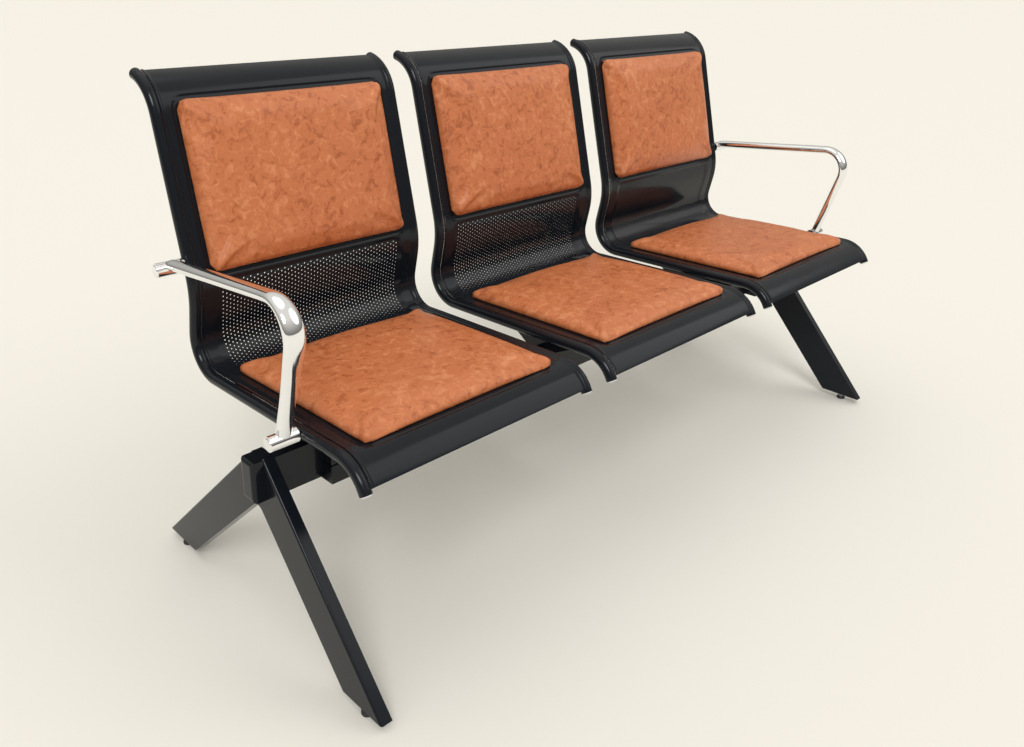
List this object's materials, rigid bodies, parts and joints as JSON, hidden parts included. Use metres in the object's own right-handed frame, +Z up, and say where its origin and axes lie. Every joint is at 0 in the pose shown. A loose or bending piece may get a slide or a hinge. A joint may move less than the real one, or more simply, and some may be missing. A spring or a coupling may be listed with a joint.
{
  "type": "beam seating",
  "caption": "Beam bench of linked padded seats on bent round tubes and sheet shells, with splayed box legs and chrome armrests at both ends.",
  "frame": {"origin": "floor level, midway between the two leg frames and midway between the front and rear foot tips", "axes": "+X along the beam to the right armrest, -Y the open front of the seats, +Z up"},
  "size_m": [1.669, 0.6756, 0.902],
  "materials": {
    "frame_black": "gloss powder coat",
    "arm_chrome": "polished",
    "pad_leatherette": "mottled tan, soft gloss",
    "plug_metal": "plain",
    "glide_plastic": "moulded",
    "glide_steel": "zinc plated",
    "bolt_zinc": "zinc plated"
  },
  "bodies": {
    "bench": {"arm_caps": "arm_chrome", "beam": "frame_black", "clamp_bolts": "bolt_zinc", "clamps": "frame_black", "hub_bolts": "bolt_zinc", "left_arm": "arm_chrome", "left_arm_front_housing": "arm_chrome", "left_arm_rear_housing": "arm_chrome", "left_front_leg": "frame_black", "left_front_leg_plate": "frame_black", "left_hub": "frame_black", "left_rear_leg": "frame_black", "left_rear_leg_plate": "frame_black", "pad_screws": "bolt_zinc", "right_arm": "arm_chrome", "right_arm_front_housing": "arm_chrome", "right_arm_rear_housing": "arm_chrome", "right_front_leg": "frame_black", "right_front_leg_plate": "frame_black", "right_hub": "frame_black", "right_rear_leg": "frame_black", "right_rear_leg_plate": "frame_black", "seat1_back_pad": "pad_leatherette", "seat1_front_bar": "frame_black", "seat1_left_bracket": "frame_black", "seat1_left_tube": "frame_black", "seat1_rear_bar": "frame_black", "seat1_right_bracket": "frame_black", "seat1_right_tube": "frame_black", "seat1_seat_pad": "pad_leatherette", "seat1_shell": "frame_black", "seat2_back_pad": "pad_leatherette", "seat2_front_bar": "frame_black", "seat2_left_bracket": "frame_black", "seat2_left_tube": "frame_black", "seat2_rear_bar": "frame_black", "seat2_right_bracket": "frame_black", "seat2_right_tube": "frame_black", "seat2_seat_pad": "pad_leatherette", "seat2_shell": "frame_black", "seat3_back_pad": "pad_leatherette", "seat3_front_bar": "frame_black", "seat3_left_bracket": "frame_black", "seat3_left_tube": "frame_black", "seat3_rear_bar": "frame_black", "seat3_right_bracket": "frame_black", "seat3_right_tube": "frame_black", "seat3_seat_pad": "pad_leatherette", "seat3_shell": "frame_black", "tube_plugs": "plug_metal"},
    "left_front_glide": {"left_front_glide_foot": "glide_plastic", "left_front_glide_stud": "glide_steel"},
    "left_rear_glide": {"left_rear_glide_foot": "glide_plastic", "left_rear_glide_stud": "glide_steel"},
    "right_front_glide": {"right_front_glide_foot": "glide_plastic", "right_front_glide_stud": "glide_steel"},
    "right_rear_glide": {"right_rear_glide_foot": "glide_plastic", "right_rear_glide_stud": "glide_steel"}
  },
  "joints": [
    {"name": "left_front_glide_height", "type": "slide", "parent": "bench", "child": "left_front_glide", "axis": [0, 0, 1], "range_m": [-0.01, 0.0025]},
    {"name": "left_rear_glide_height", "type": "slide", "parent": "bench", "child": "left_rear_glide", "axis": [0, 0, 1], "range_m": [-0.01, 0.0025]},
    {"name": "right_front_glide_height", "type": "slide", "parent": "bench", "child": "right_front_glide", "axis": [0, 0, 1], "range_m": [-0.01, 0.0025]},
    {"name": "right_rear_glide_height", "type": "slide", "parent": "bench", "child": "right_rear_glide", "axis": [0, 0, 1], "range_m": [-0.01, 0.0025]}
  ]
}
